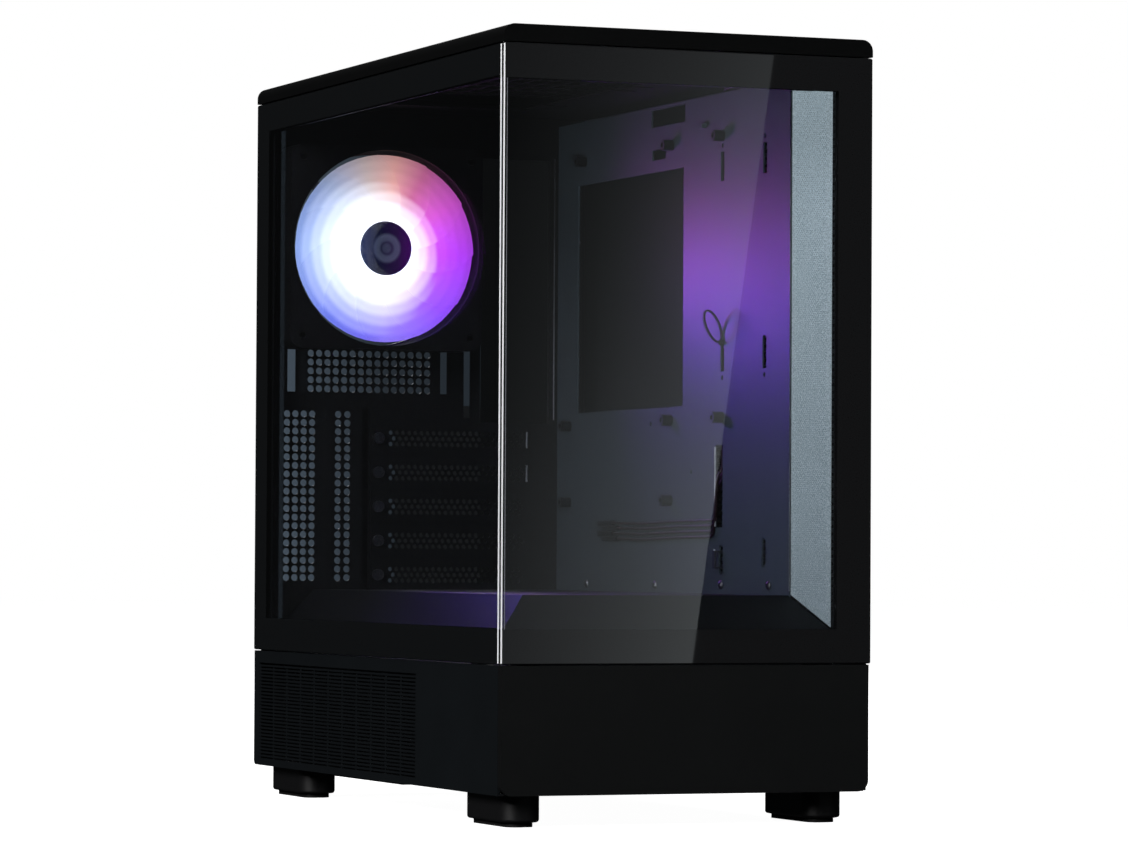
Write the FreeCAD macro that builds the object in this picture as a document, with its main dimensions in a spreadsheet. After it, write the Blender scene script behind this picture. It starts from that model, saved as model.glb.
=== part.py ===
"""Compact glass-fronted desktop computer tower, built as separate named sub-parts.

Units are millimetres. The origin is at the bottom centre of the bounding box.
+X is to the right seen from the front, -Y is the front, +Z is up.
"""
import FreeCAD
import Part
import math
import os
import Sketcher

Vector = FreeCAD.Vector
Rotation = FreeCAD.Rotation
Placement = FreeCAD.Placement

doc = FreeCAD.newDocument("ComputerTower")
sheet = doc.addObject("Spreadsheet::Sheet", "dim")

DIMENSIONS = {
    "half_width": 105.0,
    "front_face": -205.0,
    "rear_face": 199.0,
    "screw_head_end": 205.0,
    "overall_height": 415.4,
    "leg_height": 17.0,
    "pad_drop": 2.5,
    "sheet_steel": 1.0,
    "rim_depth": 3.2,
    "glass_thick": 4.0,
    "glass_low": 84.6,
    "glass_high": 405.6,
    "skirt_top": 84.0,
    "skirt_inset": 0.5,
    "cover_low": 406.2,
    "cover_corner": 6.0,
    "tray_face": 86.5,
    "tray_front": -140.7,
    "shroud_top": 120.0,
    "bevel_drop": 18.0,
    "fan_x": -32.0,
    "fan_z": 322.0,
    "fan_size": 120.0,
    "fan_depth": 25.0,
    "fan_holes": 105.0,
    "duct_radius": 58.0,
    "blade_tip": 55.6,
    "hub_radius": 17.0,
    "shaft_radius": 1.5,
    "shaft_clearance": 0.05,
    "slot_pitch": 20.32,
    "slot_top": 210.1,
    "slot_height": 13.0,
    "cover_height": 18.42,
    "io_width": 44.45,
    "io_height": 158.75,
    "io_left": 36.5,
    "io_low": 220.4,
    "vent_pitch": 5.25,
    "vent_hole": 2.05,
    "cover_pitch": 3.9,
    "cover_row": 3.4,
    "cover_hole": 1.3,
    "board_rear": 188.2,
    "board_top": 382.25,
    "standoff_height": 6.3,
    "standoff_radius": 3.2,
    "standoff_bore": 1.45,
    "psu_left": -68.0,
    "psu_low": 21.0,
    "foot_width": 22.0,
    "foot_length": 62.0,
    "foot_corner": 9.0,
    "foot_x": 86.0,
    "foot_screw_x": 92.0,
    "foot_front_y": -160.0,
    "foot_rear_y": 162.0,
    "stud_radius": 2.5,
    "ball_radius": 3.0,
    "button_gap": 0.3,
    "power_x": 70.0,
    "power_radius": 7.0,
    "reset_x": 50.0,
    "reset_radius": 3.5,
    "ports_y": -176.0,
}

for row, (alias, value) in enumerate(DIMENSIONS.items(), start=1):
    sheet.set(f"A{row}", alias)
    sheet.set(f"B{row}", str(value))
    sheet.setAlias(f"B{row}", alias)
doc.recompute()

STRIP_CORNER = Vector(86.9, -142.0, 103)
TRAY_SCREWS = [(149.5, 124.2), (45.0, 124.2), (-49.3, 125.0), (-114.1, 125.0)]

sub_parts = []


def publish(obj, label):
    """Name a finished sub-part so that it is checked and exported."""
    obj.Label = label
    sub_parts.append(obj)
    return obj


def bind(obj, **sizes):
    """Tie properties of an object to expressions over the dimension sheet."""
    for name, expression in sizes.items():
        obj.setExpression(name, str(expression))


def move(obj, x, y, z):
    """Place an object with a position given by expressions."""
    obj.setExpression(".Placement.Base.x", str(x))
    obj.setExpression(".Placement.Base.y", str(y))
    obj.setExpression(".Placement.Base.z", str(z))


def box(low, high):
    """A box between two corners given as expressions."""
    solid = doc.addObject("Part::Box", "Block")
    bind(
        solid,
        Length=f"({high[0]}) - ({low[0]})",
        Width=f"({high[1]}) - ({low[1]})",
        Height=f"({high[2]}) - ({low[2]})",
    )
    move(solid, *low)
    return solid


AXIS_TURNS = {
    "x": Rotation(Vector(0, 1, 0), 90),
    "y": Rotation(Vector(1, 0, 0), -90),
    "z": Rotation(),
}


def rod(axis, start, radius, length):
    """A cylinder growing from a start point along +X, +Y or +Z."""
    solid = doc.addObject("Part::Cylinder", "Rod")
    bind(solid, Radius=radius, Height=length)
    solid.Placement = Placement(Vector(), AXIS_TURNS[axis])
    move(solid, *start)
    return solid


def ball(centre, radius):
    """A sphere at a centre given as expressions."""
    solid = doc.addObject("Part::Sphere", "Ball")
    bind(solid, Radius=radius)
    move(solid, *centre)
    return solid


def taper(axis, start, first, second, length):
    """A cone growing from a start point along +X, +Y or +Z."""
    solid = doc.addObject("Part::Cone", "Taper")
    bind(solid, Radius1=first, Radius2=second, Height=length)
    solid.Placement = Placement(Vector(), AXIS_TURNS[axis])
    move(solid, *start)
    return solid


def union(*parts):
    """Join solids into one."""
    joined = doc.addObject("Part::MultiFuse", "Union")
    joined.Shapes = list(parts)
    return joined


def group(*parts):
    """Keep identical separate solids together as one sub-part."""
    kept = doc.addObject("Part::Compound", "Group")
    kept.Links = list(parts)
    return kept


def carve(base, *tools):
    """Remove the tools from a base solid."""
    cut = doc.addObject("Part::Cut", "Carve")
    cut.Base = base
    cut.Tool = tools[0] if len(tools) == 1 else group(*tools)
    return cut


def overlap(first, second):
    """Keep only what two solids share."""
    common = doc.addObject("Part::Common", "Overlap")
    common.Base = first
    common.Tool = second
    return common


def rounded(base, radius, direction, keep=None):
    """Fillet the straight edges that run along one direction."""
    doc.recompute()
    picked = []
    for number, edge in enumerate(base.Shape.Edges, start=1):
        if not isinstance(edge.Curve, Part.Line):
            continue
        if abs(abs(edge.tangentAt(edge.FirstParameter).dot(direction)) - 1) > 1e-6:
            continue
        if keep is None or keep(edge.CenterOfMass):
            picked.append((number, radius, radius))
    fillet = doc.addObject("Part::Fillet", "Rounded")
    fillet.Base = base
    fillet.Edges = picked
    return fillet


def bevelled(base, size, keep):
    """Chamfer the edges that a test picks."""
    doc.recompute()
    picked = [
        (number, size, size)
        for number, edge in enumerate(base.Shape.Edges, start=1)
        if keep(edge.CenterOfMass)
    ]
    chamfer = doc.addObject("Part::Chamfer", "Bevelled")
    chamfer.Base = base
    chamfer.Edges = picked
    return chamfer


def pad_plate(plane, offset, thickness, rectangles, circles=()):
    """A sheet-metal plate: a sketched outline with rectangular and round holes, padded.

    The first rectangle is the outline. Rectangles are (u0, v0, u1, v1) and circles
    are (u, v, radius), all expressions in the plane's own two directions.
    """
    body = doc.addObject("PartDesign::Body", "Plate")
    sketch = body.newObject("Sketcher::SketchObject", "Outline")
    base_plane = [item for item in body.Origin.OriginFeatures if item.Role == plane][0]
    sketch.AttachmentSupport = [(base_plane, "")]
    sketch.MapMode = "FlatFace"
    sketch.setExpression(".AttachmentOffset.Base.z", str(offset))
    for rectangle in rectangles:
        draw_rectangle(sketch, rectangle)
    for circle in circles:
        draw_circle(sketch, circle)
    pad = body.newObject("PartDesign::Pad", "Thickness")
    pad.Profile = sketch
    bind(pad, Length=thickness)
    body.Tip = pad
    return body


def draw_rectangle(sketch, corners):
    """Add one constrained rectangle to a sketch."""
    first = sketch.GeometryCount
    points = [Vector(0, 0, 0), Vector(10, 0, 0), Vector(10, 10, 0), Vector(0, 10, 0)]
    for side in range(4):
        sketch.addGeometry(Part.LineSegment(points[side], points[(side + 1) % 4]), False)
    for side in range(4):
        joint = (first + side, 2, first + (side + 1) % 4, 1)
        sketch.addConstraint(Sketcher.Constraint("Coincident", *joint))
    for side in (0, 2):
        sketch.addConstraint(Sketcher.Constraint("Horizontal", first + side))
        sketch.addConstraint(Sketcher.Constraint("Vertical", first + side + 1))
    measures = (
        ("DistanceX", first, corners[0]),
        ("DistanceY", first, corners[1]),
        ("DistanceX", first + 2, corners[2]),
        ("DistanceY", first + 2, corners[3]),
    )
    for kind, side, expression in measures:
        index = sketch.addConstraint(Sketcher.Constraint(kind, -1, 1, side, 1, 1.0))
        sketch.setExpression(f"Constraints[{index}]", str(expression))


def draw_circle(sketch, circle):
    """Add one constrained circle to a sketch."""
    u, v, radius = circle
    item = sketch.addGeometry(Part.Circle(Vector(1, 1, 0), Vector(0, 0, 1), 1.0), False)
    for kind, expression in (("DistanceX", u), ("DistanceY", v)):
        index = sketch.addConstraint(Sketcher.Constraint(kind, -1, 1, item, 3, 1.0))
        sketch.setExpression(f"Constraints[{index}]", str(expression))
    index = sketch.addConstraint(Sketcher.Constraint("Radius", item, 1.0))
    sketch.setExpression(f"Constraints[{index}]", str(radius))


def hole_grid(columns, rows, first_x, first_z, pitch_x, pitch_z, radius, y, depth, stagger=0):
    """A grid of round holes through a plate that faces along Y."""
    tools = []
    for row in range(rows):
        shift = stagger if row % 2 else 0
        for column in range(columns):
            x = f"{first_x} + {column} * {pitch_x} + {shift}"
            z = f"{first_z} + {row} * ({pitch_z})"
            tools.append(rod("y", (x, y, z), radius, depth))
    return tools


# ---------------------------------------------------------------- steel chassis

def bottom_pan():
    """Floor sheet with a slotted opening under the power supply and fixing holes."""
    plate = pad_plate(
        "XY_Plane",
        "dim.leg_height",
        "1.2",
        [("-103.2", "-199.9", "103.2", "198")],
        [(x, y, "2.1") for x in ("-dim.foot_screw_x", "dim.foot_screw_x")
         for y in ("dim.foot_front_y", "dim.foot_rear_y")],
    )
    slots = [
        box((-56 + 19 * column, 66 + 12 * line, 16), (-40 + 19 * column, 73 + 12 * line, 19))
        for column in range(6)
        for line in range(9)
    ]
    return publish(carve(plate, *slots), "bottom_pan")


def rear_panel():
    """Back sheet with the fan, connector, slot and power supply openings."""
    holes = []
    for dx in (-0.5, 0.5):
        for dz in (-0.5, 0.5):
            holes.append((f"dim.fan_x + {dx} * dim.fan_holes", f"dim.fan_z + {dz} * dim.fan_holes", "2.3"))
    for dx, dz in ((6, 80), (144, 80), (6, 16), (120, 6)):
        holes.append((f"dim.psu_left + {dx}", f"dim.psu_low + {dz}", "1.9"))
    for z in (95, 330):
        holes.append(("97", z, "3"))
    for number in range(5):
        holes.append(("-28.5", f"dim.slot_top - {number} * dim.slot_pitch", "2"))
    openings = [
        ("-100.6", "18.2", "103.2", "404.9"),
        ("dim.io_left", "dim.io_low", "dim.io_left + dim.io_width", "dim.io_low + dim.io_height"),
        ("dim.psu_left + 12", "dim.psu_low + 11", "dim.psu_left + 138", "dim.psu_low + 74"),
        ("-38.5", "121", "-34", "227.5"),
        ("-85.4", "237", "-80.2", "264"),
        ("11", "237", "15.4", "263"),
        ("26", "223", "30.2", "264"),
    ]
    for number in range(5):
        middle = f"dim.slot_top - {number} * dim.slot_pitch"
        half = "dim.slot_height / 2"
        openings.append(("-23.5", f"{middle} - {half}", "65.5", f"{middle} + {half}"))
    holes.append(("dim.fan_x", "dim.fan_z", "dim.duct_radius - 1"))
    plate = pad_plate("XZ_Plane", "-dim.rear_face", "dim.sheet_steel", openings, holes)
    vents = hole_grid(15, 5, "-70.8", "239", "dim.vent_pitch", "dim.vent_pitch", "dim.vent_hole", 195, 8)
    vents += hole_grid(4, 20, "-85.4", "127", "dim.vent_pitch", "5.1", "dim.vent_hole", 195, 8)
    vents += hole_grid(2, 20, "-53.4", "127", "5.8", "5.1", "dim.vent_hole", 195, 8)
    sheet_in = "dim.rear_face - dim.sheet_steel"
    fan_rim = carve(
        rod("y", ("dim.fan_x", sheet_in, "dim.fan_z"), "dim.duct_radius + 0.3", "dim.rim_depth"),
        rod("y", ("dim.fan_x", f"{sheet_in} - 1", "dim.fan_z"), "dim.duct_radius - 1", "dim.rim_depth + 2"),
    )
    connector_rim = raised_rim(openings[1], "0.8")
    supply_rim = raised_rim(openings[2], "1.3")
    return publish(carve(union(plate, fan_rim, connector_rim, supply_rim), *vents), "rear_panel")


def raised_rim(opening, width):
    """A turned-out rim round a rectangular opening in the back sheet."""
    left, low, right, high = opening
    near = "dim.rear_face - dim.sheet_steel"
    far = f"{near} + dim.rim_depth"
    outer = box(
        (f"{left} - {width}", near, f"{low} - {width}"),
        (f"{right} + {width}", far, f"{high} + {width}"),
    )
    return carve(outer, box((left, f"{near} - 1", low), (right, f"{far} + 1", high)))


def motherboard_tray():
    """Upright sheet that carries the board, with its cable and cooler cut-outs."""
    openings = [
        ("dim.tray_front", "18.2", "198", "400"),
        ("6", "226", "166", "362"),
        ("4", "388", "53.6", "398"),
        ("-51.5", "350.6", "-46.5", "367"),
        ("-109.5", "351", "-104.5", "368"),
        ("-52.2", "244", "-47.2", "262"),
        ("-109.5", "244", "-104.5", "262"),
        ("-109.5", "135", "-104.5", "151"),
        ("-50.7", "157", "-40.7", "203"),
        ("-51.5", "131", "-46.5", "147"),
        ("32", "369", "52", "375"),
        ("20", "28", "192", "108"),
        ("-120", "28", "0", "108"),
    ]
    dots = [
        (-49, 370.5),
        (-107, 371.5),
        (-49.7, 240.5),
        (-107, 240.5),
        (52.5, 217),
        (-6.5, 188.5),
        (-5.7, 160.3),
    ]
    plate = pad_plate(
        "YZ_Plane",
        "dim.tray_face",
        "dim.sheet_steel",
        openings,
        [(y, z, "1.4") for y, z in dots] + [(y, z, "1.5") for y, z in TRAY_SCREWS],
    )
    edge_fold = box(
        ("dim.tray_face + dim.sheet_steel", "dim.tray_front", 121),
        (96, "dim.tray_front + 1", 399),
    )
    hook = box(("dim.tray_face - 3", -26, 382), ("dim.tray_face", -21, 384.5))
    return publish(union(plate, edge_fold, hook), "motherboard_tray")


def psu_shroud():
    """Bevelled cover over the power supply bay, open at its back and right sides."""
    def hood(left, front, low, top, run):
        """A box with a sloping left and front edge above it."""
        slope = doc.addObject("Part::Wedge", "Slope")
        bind(
            slope,
            Xmin=left, Xmax="86.3", Ymin="0", Ymax="dim.bevel_drop",
            Zmin="-198", Zmax=f"-({front})",
            X2min=f"{left} + {run}", X2max="86.3",
            Z2min="-198", Z2max=f"-({front}) - {run}",
        )
        slope.Placement = Placement(Vector(), Rotation(Vector(1, 0, 0), 90))
        move(slope, 0, 0, f"{top} - dim.bevel_drop")
        walls = box((left, front, low), (86.3, 198, f"{top} - dim.bevel_drop"))
        return union(slope, walls)

    outer = hood("-86", "-158.7", "18.2", "dim.shroud_top", "18")
    inner = hood("-85", "-157.7", "17", "dim.shroud_top - 1", "17.6")
    side_run = box((80, -157.7, 17), (90, 199, "dim.shroud_top - 1"))
    cable_slot = box((54, -105, 117), (82, -80, 123))
    rear_relief = box((-36, 196.8, 118), (70, 199, 121))
    shell = carve(outer, inner, side_run, cable_slot, rear_relief)
    return publish(union(shell, corner_slope()), "psu_shroud")


def corner_slope():
    """The shroud's bevel carried on to the foot of the slanted strip."""
    plate = doc.addObject("Part::Box", "Corner")
    bind(plate, Length="23", Width="dim.bevel_drop * sqrt(2)", Height="1")
    lean = Rotation(Vector(1, 0, 0), 45)
    plate.Placement = Placement(Vector(79.5, -158.7, 102) + lean.multVec(Vector(0, 0, -1)), lean)
    behind_strip = doc.addObject("Part::Box", "Behind")
    bind(behind_strip, Length="90", Width="60", Height="40")
    turn = Rotation(Vector(0, 0, 1), -46)
    behind_strip.Placement = Placement(STRIP_CORNER + turn.multVec(Vector(-30, -0.1, -13)), turn)
    return carve(plate, behind_strip)


def intake_bevel():
    """Slanted strip between the tray's front edge and the side panel, mitred at its foot.

    Its fine perforation is too small to cut here, so it is left to the finish.
    """
    corner = STRIP_CORNER
    turn = Rotation(Vector(0, 0, 1), -46)
    strip = doc.addObject("Part::Box", "Strip")
    bind(strip, Length="23", Width="0.8", Height="298")
    strip.Placement = Placement(corner, turn)
    lip = doc.addObject("Part::Box", "Lip")
    bind(lip, Length="1", Width="1.6", Height="298")
    lip.Placement = Placement(corner, turn)
    mitre = doc.addObject("Part::Box", "Mitre")
    bind(mitre, Length="60", Width="20", Height="40")
    lean = turn.multiply(Rotation(Vector(0, 1, 0), 37))
    start = corner + turn.multVec(Vector(0, -8, 17.4)) + lean.multVec(Vector(-20, 0, -40))
    mitre.Placement = Placement(start, lean)
    return publish(carve(union(strip, lip), mitre), "intake_bevel")


def front_frame():
    """Welded frame behind the front glass, with the shelf for the port board."""
    bottom = box((-100, -192, 86), (103, -186, 101))
    post = box((92, -192, 86), (103, -186, 405))
    top = box((-100, -192, 391), (103, -186, 405))
    shelf = box((-46, -186, 391), (88, -164, 392.2))
    legs = union(box((-89.6, -190, 18.2), (-78, -187, 86)), box((78, -190, 18.2), (89.6, -187, 86)))
    return publish(union(bottom, post, top, shelf, legs), "front_frame")


def top_frame():
    """Roof sheet with slotted fan mountings on both sides of a long opening."""
    plate = pad_plate(
        "XY_Plane",
        "404.9",
        "1.1",
        [("-100.6", "-160", "103.2", "198"), ("-46", "-150", "46", "150")],
    )
    slots = []
    for x in (-52.5, 52.5):
        for y in (-117.5, -12.5, 12.5, 117.5):
            middle = box((x - 4.8, y - 2.2, 403), (x + 4.8, y + 2.2, 408))
            ends = [rod("z", (x + side * 4.8, y, 403), "2.2", 5) for side in (-1, 1)]
            slots.append(union(middle, *ends))
    left_fold = box((-100.6, -140, 389), (-99.6, 170, 404.9))
    return publish(union(carve(plate, *slots), left_fold), "top_frame")


def top_cover():
    """Thick rounded top slab, hollow below, with a filter recess and port holes."""
    block = box(
        ("-dim.half_width", "dim.front_face", "dim.cover_low"),
        ("dim.half_width", "dim.rear_face", "dim.overall_height"),
    )
    soft = rounded(block, 6.0, Vector(0, 1, 0), lambda p: p.z > 410)
    tools = [
        box((-99, -199, 405), (99, 193, 412)),
        box((-75, -158, 413.4), (75, 158, 417)),
    ]
    for column in range(12):
        for line in range(14):
            low_x = -68.5 + 11.6 * column
            low_y = -148 + 21.3 * line
            tools.append(box((low_x, low_y, 410), (low_x + 8.6, low_y + 18.3, 415)))
    tools.append(rod("z", ("dim.power_x", "dim.ports_y", 405), "dim.power_radius + dim.button_gap", 15))
    tools.append(rod("z", ("dim.reset_x", "dim.ports_y", 405), "dim.reset_radius + dim.button_gap", 15))
    tools.append(rod("z", (32, "dim.ports_y", 405), "3.7", 15))
    tools.append(rod("z", (86, "dim.ports_y", 405), "1.55", 15))
    for x in (10, -12):
        tools.append(box((x - 6.8, "dim.ports_y - 3.1", 405), (x + 6.8, "dim.ports_y + 3.1", 418)))
    tools.append(box((-36.8, "dim.ports_y - 1.9", 405), (-27.2, "dim.ports_y + 1.9", 418)))
    return publish(carve(soft, *tools), "top_cover")


def skirts():
    """Plain front skirt with short returns, and the left skirt with its vent window."""
    outline = box((-104.5, -204.5, "dim.leg_height"), (104, -200, "dim.skirt_top"))
    soft = rounded(outline, 6.0, Vector(0, 1, 0), lambda p: p.z < 20)
    hollow = box((-103.3, -203.3, "dim.leg_height + 1.2"), (103, -199, 90))
    publish(carve(soft, hollow), "front_skirt")

    wall = pad_plate(
        "YZ_Plane",
        "-104.5",
        "1.2",
        [("-199.7", "dim.leg_height", "dim.rear_face", "dim.skirt_top"), ("-77", "20", "190", "77")],
    )
    flange = box((-103.3, -199.7, 82.8), (-90, "dim.rear_face - 1", "dim.skirt_top"))
    joined = union(wall, flange)
    trimmed = rounded(joined, 3.0, Vector(1, 0, 0), lambda p: p.z < 18 and p.y > 190)
    publish(trimmed, "left_skirt")


def louvre_panel(label, x_span, rib_span, y_span, z_low, rows, pitch, ribs):
    """Fine horizontal louvre bars tied together by upright ribs behind them."""
    bars = []
    bar_height = pitch * 0.55
    for row in range(rows):
        low = z_low + pitch * row
        bars.append(box((x_span[0], y_span[0], low), (x_span[1], y_span[1], low + bar_height)))
    spacing = (y_span[1] - y_span[0] - 2.0) / (ribs - 1)
    high = z_low + pitch * (rows - 1) + bar_height
    for rib in range(ribs):
        y = y_span[0] + spacing * rib
        bars.append(box((rib_span[0], y, z_low), (rib_span[1], y + 2.0, high)))
    return publish(union(*bars), label)


def slot_covers():
    """Five perforated expansion slot covers with their screws and outer shield."""
    screws = []
    for number in range(5):
        middle = f"dim.slot_top - {number} * dim.slot_pitch"
        blank = box(
            (-33, 197, f"{middle} - dim.cover_height / 2"),
            (67.5, 198, f"{middle} + dim.cover_height / 2"),
        )
        holes = hole_grid(
            22, 3, "-20.5", f"{middle} - dim.cover_row", "dim.cover_pitch", "dim.cover_row",
            "dim.cover_hole", 196, 3, stagger="dim.cover_pitch / 2",
        )
        screw_hole = rod("y", (-28.5, 196, middle), 2, 3)
        publish(carve(blank, screw_hole, *holes), f"slot_cover_{number + 1}")
        head = carve(
            rod("y", (-28.5, 194.6, middle), 3.4, 2.4),
            box((-31, 194, f"{middle} - 0.5"), (-26, 195.4, f"{middle} + 0.5")),
            box((-29, 194, f"{middle} - 2.5"), (-28, 195.4, f"{middle} + 2.5")),
        )
        screws.append(union(head, rod("y", (-28.5, 197, middle), 1.75, 3)))
    publish(group(*screws), "slot_cover_screws")
    channel = box((-44, 199, 118), (-31, 203, 230))
    publish(carve(channel, box((-43, 198, 119), (-32, 202, 229))), "slot_screw_shield")


def standoffs():
    """Threaded board standoffs at the compact board's standard hole positions."""
    places = [(33.02, 6.35), (165.1, 6.35), (237.49, 6.35), (237.49, 163.83)]
    places += [(depth, drop) for depth in (10.16, 165.1) for drop in (163.83, 209.55)]
    items = []
    for depth, drop in places:
        y = f"dim.board_rear - {depth}"
        z = f"dim.board_top - {drop}"
        foot = ("dim.tray_face - dim.standoff_height", y, z)
        post = rod("x", foot, "dim.standoff_radius", "dim.standoff_height")
        bore = rod("x", ("dim.tray_face - dim.standoff_height - 1", y, z), "dim.standoff_bore", 6.5)
        items.append(carve(post, bore))
    publish(group(*items), "board_standoffs")


def tray_screws():
    """Domed screws along the foot of the tray, just above the shroud."""
    items = []
    for y, z in TRAY_SCREWS:
        head = overlap(
            rod("x", ("dim.tray_face - 1.8", y, z), 2.6, 1.8),
            ball(("dim.tray_face + 1.2", y, z), 3.0),
        )
        cross = box(("dim.tray_face - 2", y - 1.4, z - 0.3), ("dim.tray_face - 1.2", y + 1.4, z + 0.3))
        slot = box(("dim.tray_face - 2", y - 0.3, z - 1.4), ("dim.tray_face - 1.2", y + 0.3, z + 1.4))
        items.append(union(carve(head, cross, slot), rod("x", ("dim.tray_face - 0.4", y, z), 1.4, 3.2)))
    publish(group(*items), "tray_screws")


def drive_bay():
    """Cage for two disk drives under the shroud, and the flat bracket behind the tray."""
    outer = box((-56, -150, 18.2), (50, -10, 82))
    inner = box((-54.8, -151, 17), (48.8, -9, 80.8))
    ledges = [box((x0, -150, 48), (x1, -10, 49)) for x0, x1 in ((-54.8, -47), (41, 48.8))]
    feet = [box((x0, -150, 18.2), (x1, -10, 19.4)) for x0, x1 in ((-54.8, -46), (40, 48.8))]
    holes = []
    for y in (-121.6, -20):
        for z in (27, 57):
            holes.append(rod("x", (-60, y, z), 2.0, 120))
    publish(carve(union(carve(outer, inner), *ledges, *feet), *holes), "drive_cage")

    plate = box((94.5, 12, 126), (95.5, 92, 206))
    ends = [box(("dim.tray_face + 1", 12, z), (94.5, 92, z + 1)) for z in (126, 205)]
    window = box((93, 32, 147), (97, 72, 186))
    publish(carve(union(plate, *ends), window), "ssd_bracket")


# ---------------------------------------------------------------- rear fan

def fan():
    """Framed rear fan: duct, stator, turning rotor with cap, and its screws."""
    back = "dim.rear_face - dim.sheet_steel"
    front = f"{back} - dim.fan_depth"
    half = "dim.fan_size / 2"
    block = box(
        (f"dim.fan_x - {half}", front, f"dim.fan_z - {half}"),
        (f"dim.fan_x + {half}", back, f"dim.fan_z + {half}"),
    )
    soft = rounded(block, 7.0, Vector(0, 1, 0))
    tools = [rod("y", ("dim.fan_x", f"{front} - 1", "dim.fan_z"), "dim.duct_radius", "dim.fan_depth + 2")]
    for dx in (-0.5, 0.5):
        for dz in (-0.5, 0.5):
            x = f"dim.fan_x + {dx} * dim.fan_holes"
            z = f"dim.fan_z + {dz} * dim.fan_holes"
            tools.append(rod("y", (x, f"{front} - 1", z), 2.15, "dim.fan_depth + 2"))
    frame = carve(soft, *tools)
    hub = rod("y", ("dim.fan_x", f"{back} - 4", "dim.fan_z"), 19, 4)
    struts = []
    for quarter in range(4):
        arm = doc.addObject("Part::Box", "Arm")
        bind(arm, Length="dim.duct_radius + 1 - 15", Width="3.5", Height="5")
        turn = Rotation(Vector(0, 1, 0), 45 + 90 * quarter)
        arm.Placement = Placement(Vector(-32, 194.5, 322) + turn.multVec(Vector(15, 0, -2.5)), turn)
        struts.append(arm)
    stator_seat = rod("y", ("dim.fan_x", f"{back} - 5", "dim.fan_z"), 2.4, 3)
    publish(carve(union(frame, hub, *struts), stator_seat), "fan_frame")

    core = rod("y", ("dim.fan_x", 179, "dim.fan_z"), 12, 11)
    board = rod("y", ("dim.fan_x", 190, "dim.fan_z"), 15.0, 4)
    bore = rod("y", ("dim.fan_x", 178, "dim.fan_z"), "dim.shaft_radius + dim.shaft_clearance", 20)
    publish(carve(union(core, board), bore), "fan_stator")

    cup = carve(
        rod("y", ("dim.fan_x", 175.5, "dim.fan_z"), "dim.hub_radius", 13.5),
        rod("y", ("dim.fan_x", 177.5, "dim.fan_z"), "dim.hub_radius - 2.5", 13),
    )
    shaft = rod("y", ("dim.fan_x", 176, "dim.fan_z"), "dim.shaft_radius", 17.5)
    blades = []
    for number in range(11):
        blade = doc.addObject("Part::Box", "Blade")
        bind(blade, Length="42.5", Width="1.5", Height="27")
        spin = Rotation(Vector(0, 1, 0), 360.0 * number / 11)
        turn = spin.multiply(Rotation(Vector(1, 0, 0), 52))
        start = Vector(-32, 182.5, 322) + turn.multVec(Vector(15.5, -0.75, -13.5))
        blade.Placement = Placement(start, turn)
        blades.append(blade)
    sweep = carve(
        rod("y", ("dim.fan_x", 174.5, "dim.fan_z"), "dim.blade_tip", 17),
        rod("y", ("dim.fan_x", 170, "dim.fan_z"), "dim.hub_radius - 1", 30),
    )
    trimmed = [overlap(blade, sweep) for blade in blades]
    publish(union(cup, shaft, *trimmed), "fan_rotor")

    cap = carve(
        rod("y", ("dim.fan_x", 174.3, "dim.fan_z"), 15.6, 1.2),
        carve(
            rod("y", ("dim.fan_x", 174, "dim.fan_z"), 9.6, 0.6),
            rod("y", ("dim.fan_x", 173, "dim.fan_z"), 8.6, 3),
        ),
        rod("y", ("dim.fan_x", 174, "dim.fan_z"), 2, 0.7),
    )
    publish(cap, "fan_hub_cap")

    screws = []
    for dx in (-0.5, 0.5):
        for dz in (-0.5, 0.5):
            x = f"dim.fan_x + {dx} * dim.fan_holes"
            z = f"dim.fan_z + {dz} * dim.fan_holes"
            head = taper("y", (x, "dim.rear_face", z), 4.0, 3.0, 1.8)
            low = (f"{x} - 2", "dim.rear_face + 1", f"{z} - 0.5")
            high = (f"{x} + 2", "dim.rear_face + 3", f"{z} + 0.5")
            slit = box(low, high)
            screws.append(union(carve(head, slit), rod("y", (x, 189, z), 2.1, 10)))
    publish(group(*screws), "fan_screws")


# ---------------------------------------------------------------- glass and side panels

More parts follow.
